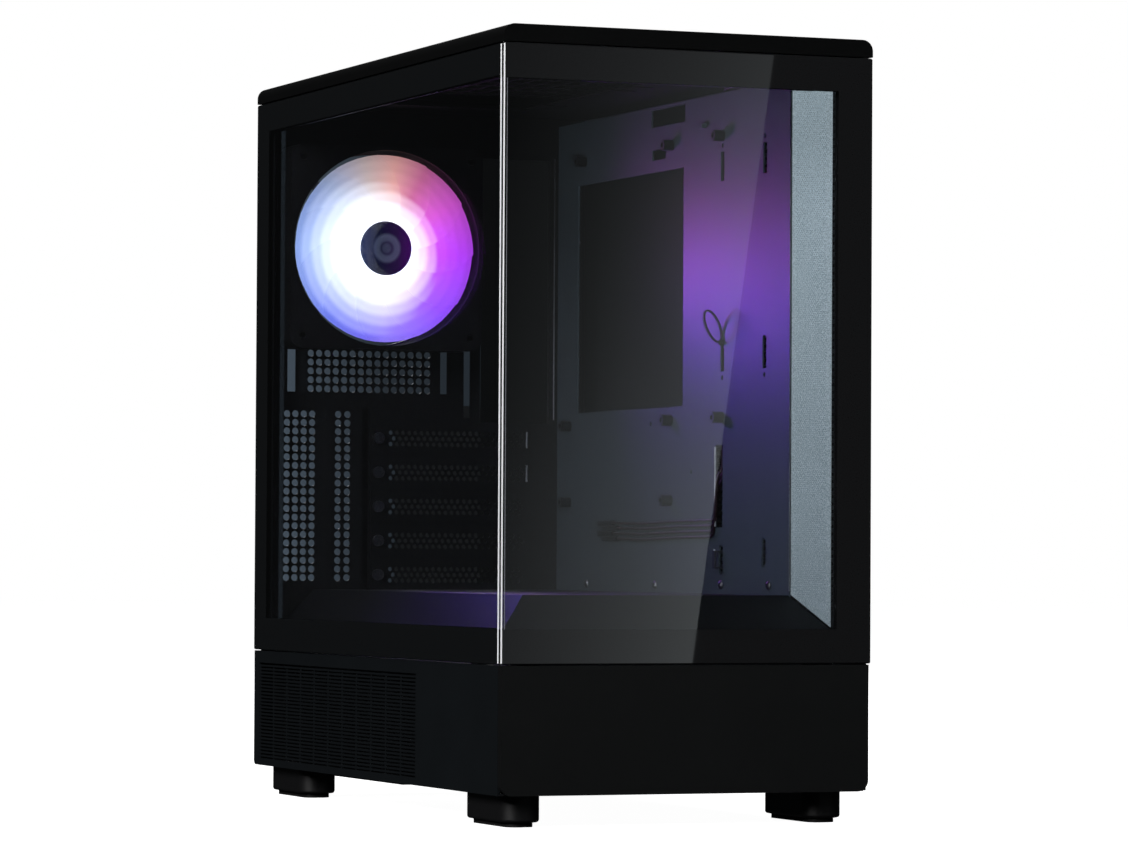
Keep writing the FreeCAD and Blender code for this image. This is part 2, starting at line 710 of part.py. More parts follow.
def glass_panels():
    """The two tempered glass panels with their ball studs and the sockets."""
    front = box(
        ("-dim.half_width", "dim.front_face", "dim.glass_low"),
        ("dim.half_width", "dim.front_face + dim.glass_thick", "dim.glass_high"),
    )
    publish(bevelled(front, 0.6, lambda p: True), "front_glass")
    left = box(
        ("-dim.half_width", -200.5, "dim.glass_low"),
        ("-dim.half_width + dim.glass_thick", "dim.rear_face", "dim.glass_high"),
    )
    publish(bevelled(left, 0.6, lambda p: True), "left_glass")

    front_studs = []
    front_sockets = []
    for x in (-90, 97.5):
        for z in (93.5, 398):
            plate = box((x - 5, -201, z - 5), (x + 5, -200.2, z + 5))
            stem = rod("y", (x, -200.2, z), "dim.stud_radius - 0.7", 3)
            knob = ball((x, -195.6, z), "dim.ball_radius")
            front_studs.append(union(plate, stem, knob))
            block = box((x - 5, -198.8, z - 5), (x + 5, -192, z + 5))
            mouth = rod("y", (x, -199.5, z), "dim.ball_radius + 0.08", 7.2)
            front_sockets.append(carve(block, mouth))
    publish(group(*front_studs), "front_glass_studs")
    publish(group(*front_sockets), "front_clip_sockets")

    left_studs = []
    left_sockets = []
    for y in (-150, 182):
        for z in (93.5, 397):
            plate = box((-101, y - 5, z - 5), (-100.2, y + 5, z + 5))
            stem = rod("x", (-100.2, y, z), "dim.stud_radius - 0.7", 3)
            knob = ball((-95.6, y, z), "dim.ball_radius")
            left_studs.append(union(plate, stem, knob))
            low, high = (84, 99) if z < 200 else (391, 403)
            block = box((-98.8, y - 5, low), (-92, y + 5, high))
            mouth = rod("x", (-99.5, y, z), "dim.ball_radius + 0.08", 7.2)
            left_sockets.append(carve(block, mouth))
    publish(group(*left_studs), "left_glass_studs")
    publish(group(*left_sockets), "left_clip_sockets")


def right_panel():
    """Steel side panel with its vent window, rear flange and captive thumbscrews."""
    wall = pad_plate(
        "YZ_Plane",
        "dim.half_width - dim.sheet_steel",
        "dim.sheet_steel",
        [("-199.4", "17.3", "dim.rear_face + 0.3", "405.8"), ("-190", "110", "40", "390")],
    )
    flange = carve(
        box((91, "dim.rear_face + 0.3", 17.3), ("dim.half_width", "dim.rear_face + 1.3", 405.8)),
        rod("y", (97, 190, 95), 2.3, 20),
        rod("y", (97, 190, 330), 2.3, 20),
    )
    publish(union(wall, flange), "right_side_panel")
    louvre_panel("right_vent_louvres", (104.2, 104.8), (104.2, 104.5), (-190, 40), 110, 70, 4.02, 9)
    for label, z in (("thumbscrew_lower", 95), ("thumbscrew_upper", 330)):
        head = rod("y", (97, "dim.rear_face + 1.6", z), 5.2, "dim.screw_head_end - dim.rear_face - 1.6")
        flutes = []
        for number in range(16):
            angle = 2 * math.pi * number / 16
            x = 97 + 5.45 * math.cos(angle)
            flutes.append(rod("y", (x, 199, z + 5.45 * math.sin(angle)), 0.6, 8))
        slit = box((96.5, 204, z - 3), (97.5, 206, z + 3))
        shank = rod("y", (97, 193, z), 2.0, 8)
        publish(union(carve(head, slit, *flutes), shank), label)


# ---------------------------------------------------------------- controls and ports

def controls():
    """Sprung buttons, status lens, sockets and the board that carries them."""
    for label, x, radius in (
        ("power_button", "dim.power_x", "dim.power_radius"),
        ("reset_button", "dim.reset_x", "dim.reset_radius"),
    ):
        top = rod("z", (x, "dim.ports_y", 403.2), radius, 11.6)
        collar = rod("z", (x, "dim.ports_y", 410.2), f"{radius} + 1.5", 1.4)
        dish = rod("z", (x, "dim.ports_y", 414.5), f"{radius} - 1.2", 1)
        publish(carve(union(top, collar), dish), label)
    lens = rod("z", (86, "dim.ports_y", 393.8), 1.5, 21.2)
    publish(lens, "status_led_lens")

    board = box((-44, -185.5, 392.2), (87.5, -164.5, 393.8))
    switches = [
        union(box((f"{x} - 4", -180, 393.8), (f"{x} + 4", -172, 399)), rod("z", (x, -176, 399), 2, 1.8))
        for x in ("dim.power_x", "dim.reset_x")
    ]
    publish(union(board, *switches), "port_board")

    shells = []
    for x in (10, -12):
        shell = carve(
            box((x - 6.5, -178.8, 393.8), (x + 6.5, -173.2, 414.8)),
            box((x - 6, -178.3, 397), (x + 6, -173.7, 416)),
        )
        tongue = box((x - 5.5, -175.6, 396.5), (x + 5.5, -173.9, 413))
        shells.append(union(shell, tongue))
    publish(group(*shells), "usb_ports")
    type_c = carve(
        rounded(box((-36.4, -177.6, 393.8), (-27.6, -174.4, 414.8)), 1.4, Vector(0, 0, 1)),
        box((-35.9, -177.1, 400), (-28.1, -174.9, 416)),
    )
    publish(union(type_c, box((-35, -176.35, 399.5), (-29, -175.65, 413.5))), "usb_c_port")
    jack = carve(rod("z", (32, -176, 393.8), 3.5, 21.2), rod("z", (32, -176, 400), 1.8, 16))
    publish(jack, "audio_jack")


# ---------------------------------------------------------------- feet and filters

def feet():
    """Four rounded feet with their rubber pads and fixing screws."""
    pads = []
    screws = []
    for side, x, fixing in (
        ("left", "-dim.foot_x", "-dim.foot_screw_x"),
        ("right", "dim.foot_x", "dim.foot_screw_x"),
    ):
        for end, y in (("front", "dim.foot_front_y"), ("rear", "dim.foot_rear_y")):
            half_w = "dim.foot_width / 2"
            half_l = "dim.foot_length / 2"
            block = box(
                (f"{x} - {half_w}", f"{y} - {half_l}", "dim.pad_drop"),
                (f"{x} + {half_w}", f"{y} + {half_l}", "dim.leg_height"),
            )
            soft = rounded(block, 9.0, Vector(0, 0, 1))
            eased = rounded_bottom(soft, 1.6)
            seat = pad_block(x, y, 3.0, "dim.pad_drop - 1", "dim.pad_drop + 1")
            bore = rod("z", (fixing, y, 8), 1.6, 10)
            publish(carve(eased, seat, bore), f"foot_{end}_{side}")
            pads.append(pad_block(x, y, 3.3, "0", "dim.pad_drop + 1"))
            head = rod("z", (fixing, y, 18.2), 3.5, 2)
            drive = box((f"{fixing} - 2.2", f"{y} - 0.4", 19.4), (f"{fixing} + 2.2", f"{y} + 0.4", 21))
            screws.append(union(carve(head, drive), rod("z", (fixing, y, 8.5), 1.55, 10)))
    publish(group(*pads), "foot_pads")
    publish(group(*screws), "foot_screws")


def rounded_bottom(base, radius):
    """Ease the edges round the underside of a foot."""
    doc.recompute()
    picked = [
        (number, radius, radius)
        for number, edge in enumerate(base.Shape.Edges, start=1)
        if abs(edge.BoundBox.ZMax - base.Shape.BoundBox.ZMin) < 1e-6
    ]
    fillet = doc.addObject("Part::Fillet", "Eased")
    fillet.Base = base
    fillet.Edges = picked
    return fillet


def pad_block(x, y, margin, low, high):
    """A rounded slab smaller than a foot by a margin."""
    block = box(
        (f"{x} - dim.foot_width / 2 + {margin}", f"{y} - dim.foot_length / 2 + {margin}", low),
        (f"{x} + dim.foot_width / 2 - {margin}", f"{y} + dim.foot_length / 2 - {margin}", high),
    )
    return rounded(block, 6.0, Vector(0, 0, 1))


def filter_frame(low, high, rim):
    """The open rim of a flat dust filter."""
    inner_low = (low[0] + rim, low[1] + rim, low[2] - 1)
    inner_high = (high[0] - rim, high[1] - rim, high[2] + 1)
    return carve(box(low, high), box(inner_low, inner_high))


def filter_mesh(low, high, columns, lines, bar):
    """The thin crossed grille that fills a filter's rim."""
    step_x = (high[0] - low[0] - bar) / columns
    step_y = (high[1] - low[1] - bar) / lines
    holes = []
    for column in range(columns):
        for line in range(lines):
            x = low[0] + bar + step_x * column
            y = low[1] + bar + step_y * line
            holes.append(box((x, y, low[2] - 1), (x + step_x - bar, y + step_y - bar, high[2] + 1)))
    return carve(box(low, high), *holes)


def filters():
    """Magnetic top dust filter and the sliding filter under the power supply."""
    publish(filter_frame((-74.6, -157.6, 413.7), (74.6, 157.6, 415.2), 5), "top_filter_rim")
    publish(filter_mesh((-69.6, -152.6, 414.1), (69.6, 152.6, 414.7), 12, 26, 1.4), "top_filter_mesh")
    rim = filter_frame((-62, 55, 12.6), (62, 195, 15.6), 4)
    handle = box((-15, 195, 12.6), (15, 202, 15.6))
    grip = rod("z", (0, 200, 11), 3, 6)
    publish(carve(union(rim, handle), grip), "psu_filter_rim")
    publish(filter_mesh((-58, 59, 13.8), (58, 191, 14.4), 12, 13, 1.4), "psu_filter_mesh")
    rails = []
    for side in (-1, 1):
        inner = 62.4 * side
        outer = 65.4 * side
        lip = 59.0 * side
        wall = box((min(inner, outer), 50, 11), (max(inner, outer), 196, 17))
        foot = box((min(lip, outer), 50, 11), (max(lip, outer), 196, 12.2))
        rails.append(union(wall, foot))
    publish(group(*rails), "psu_filter_rails")


# ---------------------------------------------------------------- small inner parts

def wire_lead(corners, radius):
    """A round lead that follows straight runs with a curved bend at every corner."""
    points = [corners[0]]
    for before, corner, after in zip(corners, corners[1:], corners[2:]):
        for neighbour in (before, after):
            offset = neighbour - corner
            reach = min(6.0, offset.Length * 0.35)
            points.append(corner + offset.normalize() * reach)
    points.append(corners[-1])
    edges = []
    position = points[0]
    for index in range(1, len(corners) - 1):
        enter = points[2 * index - 1]
        leave = points[2 * index]
        edges.append(Part.makeLine(position, enter))
        bend = Part.BezierCurve()
        bend.setPoles([enter, corners[index], leave])
        edges.append(bend.toShape())
        position = leave
    edges.append(Part.makeLine(position, points[-1]))
    heading = corners[1] - corners[0]
    profile = Part.Wire(Part.makeCircle(radius, corners[0], heading))
    lead = doc.addObject("Part::Feature", "Lead")
    lead.Shape = Part.Wire(edges).makePipeShell([profile], True, False)
    return lead


def oval_band(centre, long_half, short_half, thick, width):
    """A flat oval ring that stands out from the tray and leans towards the glass side."""
    discs = []
    for shrink, extra in ((0, 0), (thick, 1)):
        outline = doc.addObject("Part::Ellipse", "Outline")
        bind(outline, MajorRadius=long_half - shrink, MinorRadius=short_half - shrink)
        disc = doc.addObject("Part::Extrusion", "Disc")
        disc.Base = outline
        disc.DirMode = "Custom"
        disc.Dir = Vector(0, 0, 1)
        disc.Solid = True
        bind(disc, LengthFwd=width + extra, LengthRev=extra)
        discs.append(disc)
    ring = carve(*discs)
    lean = Rotation(Vector(0, 1, 0), -115)
    ring.Placement = Placement(centre, lean.multiply(Rotation(Vector(1, 0, 0), 90)))
    return ring


def small_parts():
    """Rubber supply pads, front panel leads with plugs, and strap loops."""
    pads = []
    for x in (-45, 60):
        for y in (62, 178):
            pads.append(rounded(box((x - 9, y - 4, 18.2), (x + 9, y + 4, 21)), 2.0, Vector(0, 0, 1)))
    publish(group(*pads), "psu_pads")

    plugs = []
    leads = []
    for number in range(4):
        z = 150.8 + 3.1 * number
        start = 98 + 7 * (number % 2)
        housing = box((83.9, start, z - 1.3), (86.5, start + 22, z + 1.3))
        plugs.append(rounded(housing, 0.4, Vector(0, 1, 0)))
        behind = 89.2 + 1.8 * number
        corners = [
            Vector(85.2, start, z),
            Vector(85.0, 60, z - 0.6),
            Vector(85.2, 10, z + 0.5),
            Vector(85.0, -42.5 - number, z + 1.0),
            Vector(85.0, -44.0 - number, 172 + 5 * number),
            Vector(behind, -44.0 - number, 182 + 5 * number),
            Vector(behind, -43.0, 402.4),
            Vector(behind, -156.0, 402.4),
            Vector(79.0 + 2 * number, -158.0, 402.0),
            Vector(79.0 + 2 * number, -168.0, 402.0),
            Vector(79.0 + 2 * number, -168.0, 393.8),
        ]
        leads.append(wire_lead(corners, 0.75))
    publish(group(*plugs), "header_plugs")
    publish(group(*leads), "front_panel_leads")

    y, z = -49.0, 139.0
    outer = box((82, y - 1.5, z - 5), (91.5, y + 1.5, z + 5))
    inner = box((83, y - 4, z - 4), (90.5, y + 4, z + 4))
    tie = carve(outer, inner)
    hanging = union(
        oval_band(Vector(80.6, -48.7, 269.2), 9.8, 4.4, 0.9, 2.0),
        rod("x", (84.2, -49.7, 259.8), 1.0, 3.8),
        rod("x", (87.6, -49.7, 259.8), 3.1, 1.2),
    )
    publish(group(tie, hanging), "strap_loops")


bottom_pan()
rear_panel()
motherboard_tray()
psu_shroud()
intake_bevel()
front_frame()
top_frame()
top_cover()
skirts()
louvre_panel("left_vent_louvres", (-104.3, -103.5), (-103.9, -103.5), (-77, 190), 20, 28, 2.03, 12)
slot_covers()
standoffs()
tray_screws()
drive_bay()
fan()
glass_panels()
right_panel()
controls()
feet()
filters()
small_parts()
doc.recompute()

for item in doc.Objects:
    if "Invalid" in item.State or "Error" in item.State:
        raise RuntimeError(f"{item.Name} ({item.Label}) did not rebuild: {item.State}")

os.makedirs("parts", exist_ok=True)
for item in sub_parts:
    if item.Shape.isNull() or not item.Shape.isValid():
        raise RuntimeError(f"{item.Label} has no valid shape")
    item.Shape.exportStep(f"parts/{item.Label}.step")
    bounds = item.Shape.BoundBox
    print(
        f"{item.Label:22s} solids {len(item.Shape.Solids):3d} "
        f"x {bounds.XMin:8.2f} {bounds.XMax:8.2f} y {bounds.YMin:8.2f} {bounds.YMax:8.2f} "
        f"z {bounds.ZMin:8.2f} {bounds.ZMax:8.2f} volume {item.Shape.Volume / 1000:9.2f} cm3"
    )
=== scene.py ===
"""Looks of the compact glass-fronted computer tower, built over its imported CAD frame."""
import math

import bpy
from mathutils import Matrix, Vector


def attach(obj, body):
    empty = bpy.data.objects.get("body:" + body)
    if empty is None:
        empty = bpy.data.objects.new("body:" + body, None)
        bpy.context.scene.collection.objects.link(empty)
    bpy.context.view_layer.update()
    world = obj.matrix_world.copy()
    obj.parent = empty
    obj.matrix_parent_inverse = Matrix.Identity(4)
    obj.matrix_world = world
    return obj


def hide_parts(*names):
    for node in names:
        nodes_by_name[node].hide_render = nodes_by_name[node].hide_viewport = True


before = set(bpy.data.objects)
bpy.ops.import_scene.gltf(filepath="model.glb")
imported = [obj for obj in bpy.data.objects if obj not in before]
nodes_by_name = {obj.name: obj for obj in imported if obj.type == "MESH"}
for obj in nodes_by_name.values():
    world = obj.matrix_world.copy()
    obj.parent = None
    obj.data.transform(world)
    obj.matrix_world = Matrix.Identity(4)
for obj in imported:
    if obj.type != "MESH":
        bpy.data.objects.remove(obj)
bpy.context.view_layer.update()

# Sizes and places are in metres, angles in degrees.
FAN_X, FAN_Z = -0.032, 0.322
FAN_LAMP_Y = 0.1715
BLADE_ROOT, BLADE_TIP = 0.0155, 0.0555
BLADE_FRONT_Y = 0.1768
HUB_RADIUS = 0.017
CAP_RADIUS = 0.0156
GLOW_RADIUS = 0.0565
GLASS_FRONT_Y = -0.205
# Emission of the frosted glass edges: a painted highlight.
EDGE_GLOW = 0.25
GLARE = 1.05
GLARE_WIDTH = 0.45
GLARE_CARD_AWAY, GLARE_CARD_WIDTH = 1.6, 0.62
CARD_Y, CARD_TOP = 0.6, 0.8
LAMP_TARGET = (0, 0, 0.2)
CAMERA_AT = Vector((-1.02054, -2.57332, 0.14207))
CAMERA_YAW, CAMERA_PITCH, CAMERA_ROLL = 21.853, 1.512, 0.306
CAMERA_LENS_MM, CAMERA_SENSOR_MM = 157.6, 36.0
FAN_LAMP_SPREAD = 130


# ---------------------------------------------------------------- shader helpers

class Shader:
    """A node material under construction."""

    def __init__(self, name):
        self.material = bpy.data.materials.new(name)
        self.material.use_nodes = True
        self.tree = self.material.node_tree
        self.tree.nodes.clear()
        self.output = self.tree.nodes.new("ShaderNodeOutputMaterial")
        self.coordinates = self.tree.nodes.new("ShaderNodeTexCoord").outputs["Object"]

    def node(self, kind, **inputs):
        made = self.tree.nodes.new(kind)
        for key, value in inputs.items():
            self.feed(made.inputs[key.replace("_", " ")], value)
        return made

    def feed(self, socket, value):
        if isinstance(value, bpy.types.NodeSocket):
            self.tree.links.new(value, socket)
        else:
            socket.default_value = value

    def math(self, operation, first, second=0.0, third=None, clamp=False):
        made = self.tree.nodes.new("ShaderNodeMath")
        made.operation = operation
        made.use_clamp = clamp
        self.feed(made.inputs[0], first)
        self.feed(made.inputs[1], second)
        if third is not None:
            self.feed(made.inputs[2], third)
        return made.outputs[0]

    def axes(self):
        split = self.node("ShaderNodeSeparateXYZ", Vector=self.coordinates)
        return split.outputs["X"], split.outputs["Y"], split.outputs["Z"]

    def length(self, first, second):
        squares = [self.math("MULTIPLY", side, side) for side in (first, second)]
        return self.math("SQRT", self.math("ADD", *squares))

    def from_fan_axis(self):
        """Offsets across and up from the fan's axis, and the distance from it."""
        x, _, z = self.axes()
        dx = self.math("SUBTRACT", x, FAN_X)
        dz = self.math("SUBTRACT", z, FAN_Z)
        return dx, dz, self.length(dx, dz)

    def noise(self, scale, detail=4.0, rough=0.55):
        made = self.node(
            "ShaderNodeTexNoise",
            Vector=self.coordinates,
            Scale=scale,
            Detail=detail,
            Roughness=rough,
        )
        return made.outputs["Fac"]

    def ramp(self, factor, stops):
        made = self.node("ShaderNodeValToRGB", Fac=factor)
        ramp = made.color_ramp
        while len(ramp.elements) < len(stops):
            ramp.elements.new(0.5)
        for element, (position, colour) in zip(ramp.elements, stops):
            element.position = position
            element.color = (*colour, 1.0)
        return made.outputs["Color"]

    def bump(self, height, strength, distance):
        made = self.node("ShaderNodeBump", Height=height, Strength=strength, Distance=distance)
        return made.outputs["Normal"]

    def blend(self, mode, factor, first, second):
        made = self.tree.nodes.new("ShaderNodeMix")
        made.data_type = "RGBA"
        made.blend_type = mode
        for socket, value in ((0, factor), (6, first), (7, second)):
            self.feed(made.inputs[socket], value)
        return made.outputs[2]

    def principled(self, **inputs):
        return self.node("ShaderNodeBsdfPrincipled", **inputs).outputs["BSDF"]

    def emission(self, colour, strength):
        made = self.node("ShaderNodeEmission", Color=(*colour, 1.0), Strength=strength)
        return made.outputs["Emission"]

    def mix(self, factor, first, second):
        made = self.tree.nodes.new("ShaderNodeMixShader")
        self.feed(made.inputs[0], factor)
        self.feed(made.inputs[1], first)
        self.feed(made.inputs[2], second)
        return made.outputs[0]

    def highlight_finish(self, surface):
        self.tree.links.new(surface, self.output.inputs["Surface"])
        return self.material


def surface(name, dark, light, roughness, grain, metallic=0.0, bump=0.25, specular=0.5):
    """A painted, moulded or metal finish with fine grain in colour, gloss and height."""
    shader = Shader(name)
    fine = shader.noise(grain, 5.0, 0.6)
    broad = shader.noise(grain / 40.0, 3.0)
    blend = shader.math("ADD", shader.math("MULTIPLY", fine, 0.65), shader.math("MULTIPLY", broad, 0.35))
    colour = shader.ramp(blend, [(0.3, dark), (0.7, light)])
    gloss = shader.math("MULTIPLY_ADD", fine, 0.16, roughness - 0.08)
    return shader.highlight_finish(shader.principled(
        Base_Color=colour,
        Roughness=gloss,
        Metallic=metallic,
        Specular_IOR_Level=specular,
        Normal=shader.bump(fine, bump, 0.00008),
    ))


def in_band(shader, value, low, high):
    """1 between two limits, 0 outside."""
    above = shader.math("GREATER_THAN", value, low)
    below = shader.math("LESS_THAN", value, high)
    return shader.math("MULTIPLY", above, below)


def ground_corner(shader):
    """1 on the bevelled upright edges at the corner where the two glass panels meet."""
    x, y, _ = shader.axes()
    normal = shader.node("ShaderNodeNewGeometry").outputs["True Normal"]
    parts = shader.node("ShaderNodeSeparateXYZ", Vector=normal)
    squares = [
        shader.math("POWER", shader.math("ABSOLUTE", parts.outputs[axis]), 4.0)
        for axis in ("X", "Y", "Z")
    ]
    flatness = shader.math("ADD", shader.math("ADD", squares[0], squares[1]), squares[2])
    slanted = shader.math("LESS_THAN", flatness, 0.8)
    upright = shader.math("LESS_THAN", shader.math("ABSOLUTE", parts.outputs["Z"]), 0.3)
    at_left = shader.math("LESS_THAN", x, -0.1)
    at_front = shader.math("LESS_THAN", y, -0.19)
    corner = shader.math("MULTIPLY", at_left, at_front)
    return shader.math("MULTIPLY", slanted, shader.math("MULTIPLY", upright, corner))


def glass_material(name, side_axis, side_limits, height_limits, painted_fan_light, print_dark, print_light):
    """Tinted tempered glass with a printed black border and frosted ground edges that glow with a painted
    highlight.

    The glass is clear between side_limits along side_axis and between height_limits.
    Its refraction is kept slight, so that what is behind it isn't displaced.
    """
    shader = Shader(name)
    x, y, z = shader.axes()
    side = x if side_axis == "x" else y
    clear = shader.math(
        "MULTIPLY",
        in_band(shader, z, *height_limits),
        in_band(shader, side, *side_limits),
    )
    smudge = shader.noise(9.0, 4.0, 0.6)
    tinted = shader.ramp(smudge, [(0.25, tuple(c * 0.97 for c in painted_fan_light)), (0.75, painted_fan_light)])
    facing = shader.node("ShaderNodeLayerWeight", Blend=0.5).outputs["Facing"]
    fresnel = shader.math("MULTIPLY_ADD", shader.math("POWER", facing, 5.0), 0.94, 0.06)
    mirror_rough = shader.math("MULTIPLY", smudge, 0.02)
    mirror = shader.node("ShaderNodeBsdfGlossy", Roughness=mirror_rough).outputs["BSDF"]
    passing = shader.node("ShaderNodeBsdfTransparent", Color=tinted).outputs["BSDF"]
    bending = shader.node("ShaderNodeBsdfRefraction", Color=tinted, Roughness=0.0, IOR=1.005)
    see_through = shader.mix(fresnel, bending.outputs["BSDF"], mirror)
    shadow_ray = shader.tree.nodes.new("ShaderNodeLightPath").outputs["Is Shadow Ray"]
    pane = shader.mix(shadow_ray, see_through, passing)
    speck = shader.noise(1800.0, 2.0)
    print_colour = shader.ramp(speck, [(0.3, print_dark), (0.7, print_light)])
    printed = shader.principled(Base_Color=print_colour, Roughness=0.015, Specular_IOR_Level=0.5)
    bordered = shader.mix(clear, printed, pane)
    frost_noise = shader.noise(2600.0, 2.0)
    frost_colour = shader.ramp(frost_noise, [(0.2, (0.78, 0.8, 0.82)), (0.8, (0.95, 0.96, 0.97))])
    # The frosted edges glow a little though they are no lamp: a painted highlight.
    frosted_painted_glow = shader.principled(
        Base_Color=frost_colour,
        Roughness=0.35,
        Emission_Color=(1, 1, 1, 1),
        Emission_Strength=EDGE_GLOW,
    )
    return shader.highlight_finish(shader.mix(ground_corner(shader), bordered, frosted_painted_glow))


def perforated(name, dark, light, pitch, fill, across, limits, painted_backlight):
    """A finely perforated upright sheet: holes on a tight staggered grid cut by transparency.

    across is the level direction (x, y) in the sheet's plane, and limits are the distances
    along it between which the sheet has holes. The last argument is the strength, and its growth
    per metre of height, of a glow painted into the sheet in place of light coming through.
    """
    shader = Shader(name)
    x, y, z = shader.axes()
    side = shader.math("ADD", shader.math("MULTIPLY", x, across[0]), shader.math("MULTIPLY", y, across[1]))
    u = shader.math("DIVIDE", side, pitch)
    v = shader.math("DIVIDE", z, pitch)
    row = shader.math("FLOOR", v)
    shifted = shader.math("MULTIPLY_ADD", shader.math("MODULO", row, 2.0), 0.5, u)
    du = shader.math("SUBTRACT", shader.math("FRACT", shifted), 0.5)
    dv = shader.math("SUBTRACT", shader.math("FRACT", v), 0.5)
    hole_here = shader.math("LESS_THAN", shader.length(du, dv), fill)
    inside = in_band(shader, side, *limits)
    solid = shader.math("SUBTRACT", 1.0, shader.math("MULTIPLY", hole_here, inside))
    fine = shader.noise(1500.0, 4.0)
    colour = shader.ramp(fine, [(0.34, dark), (0.66, light)])
    sheet = shader.principled(
        Base_Color=colour,
        Roughness=0.5,
        Normal=shader.bump(fine, 0.3, 0.0001),
        Emission_Color=colour,
        # Painted light: the sheet glows in its own colour, brighter higher up, in place of light passing
        # through it.
        Emission_Strength=shader.math("MULTIPLY_ADD", z, painted_backlight[1], painted_backlight[0]),
    )
    hole = shader.node("ShaderNodeBsdfTransparent").outputs["BSDF"]
    return shader.highlight_finish(shader.mix(solid, hole, sheet))


def strip_material():
    """The grey intake strip, perforated except along its two bent edges, with a painted glow that grows
    brighter higher up.
    """
    across = (0.695, -0.719)
    reach = [
        across[0] * vertex.co.x + across[1] * vertex.co.y
        for vertex in nodes_by_name["intake_bevel"].data.vertices
    ]
    limits = (min(reach) + 0.002, max(reach) - 0.003)
    dark, light = (0.22, 0.285, 0.305), (0.46, 0.545, 0.575)
    return perforated("grey_mesh", dark, light, 0.0011, 0.24, across, limits, (0.16, 3.6))


def glowing_blades(name, strength):
    """Frosted blades lit in soft bands: blue and white to pink, magenta and violet."""
    shader = Shader(name)
    dx, dz, radius = shader.from_fan_axis()
    reach = shader.math("DIVIDE", radius, GLOW_RADIUS)
    angle = shader.math("ARCTAN2", dz, dx)
    turn = shader.math("MULTIPLY_ADD", angle, 0.5 / math.pi, 0.5)
    rim = shader.ramp(turn, [
        (0.0, (0.22, 0.40, 0.98)),
        (0.07, (0.12, 0.26, 0.98)),
        (0.14, (0.04, 0.10, 0.95)),
        (0.25, (0.30, 0.22, 1.0)),
        (0.37, (0.30, 0.08, 1.0)),
        (0.49, (0.42, 0.045, 0.80)),
        (0.59, (0.50, 0.07, 0.46)),
        (0.67, (0.42, 0.10, 0.22)),
        (0.73, (0.56, 0.27, 0.24)),
        (0.79, (0.42, 0.33, 0.31)),
        (0.87, (0.30, 0.36, 0.52)),
        (1.0, (0.22, 0.40, 0.98)),
    ])
    rings = shader.math("MULTIPLY", shader.math("SINE", shader.math("MULTIPLY", reach, 58.0)), 0.05)
    lift = shader.math("MULTIPLY", shader.math("SUBTRACT", 1.0, reach, clamp=True), 2.4)
    bright = shader.math("ADD", shader.math("ADD", 1.0, lift), rings)
    slant = shader.math("ADD", shader.math("MULTIPLY", dx, -5.2), shader.math("MULTIPLY", dz, -2.3))
    edge = shader.math("ADD", shader.math("ADD", 0.54, slant), shader.math("MULTIPLY", rings, 0.4))
    whiteness = shader.math("MULTIPLY_ADD", shader.math("SUBTRACT", edge, reach), 1.8, 0.45, clamp=True)
    colour = shader.blend("MIX", whiteness, rim, (0.93, 0.96, 1.0, 1.0))
    grain = shader.noise(500.0, 3.0)
    glow = shader.math("MULTIPLY", bright, shader.math("MULTIPLY_ADD", grain, 0.06 * strength, strength))
    return shader.highlight_finish(shader.principled(
        Base_Color=(0.02, 0.02, 0.03, 1.0),
        Roughness=0.6,
        Specular_IOR_Level=0.1,
        Emission_Color=colour,
        Emission_Strength=glow,
        Normal=shader.bump(grain, 0.1, 0.0001),
    ))


def ringed_cap(name):
    """A dark hub cap with painted glow: blue-violet light from the blades, bluer on the left and more
    purple on the right, and a grey ring and small grey centre that glow too.
    """
    shader = Shader(name)
    dx, _, radius = shader.from_fan_axis()
    # Painted reflection of the blades' light: blue on the left, dark in the middle, purple towards the
    # right.
    painted_fan_light = shader.ramp(shader.math("MULTIPLY_ADD", dx, 30.0, 0.5, clamp=True), [
        (0.0, (0.0, 0.012, 0.10)),
        (0.35, (0.002, 0.003, 0.022)),
        (0.7, (0.02, 0.004, 0.05)),
        (1.0, (0.06, 0.0, 0.12)),
    ])
    ring = shader.ramp(shader.math("DIVIDE", radius, CAP_RADIUS), [
        (0.0, (0.035, 0.045, 0.06)),
        (0.16, (0.03, 0.036, 0.05)),
        (0.22, (0.008, 0.009, 0.014)),
        (0.32, (0.05, 0.06, 0.085)),
        (0.48, (0.06, 0.07, 0.10)),
        (0.6, (0.0, 0.0, 0.0)),
    ])
    grain = shader.noise(700.0, 4.0)
    strength = shader.math("MULTIPLY_ADD", grain, 0.5, 1.3)
    return shader.highlight_finish(shader.principled(
        Base_Color=(0.003, 0.003, 0.006, 1.0),
        Roughness=0.6,
        Specular_IOR_Level=0.15,
        # The cap glows though it is no lamp: painted light.
        Emission_Color=shader.blend("ADD", 1.0, painted_fan_light, ring),
        Emission_Strength=strength,
        Normal=shader.bump(grain, 0.2, 0.00005),
    ))


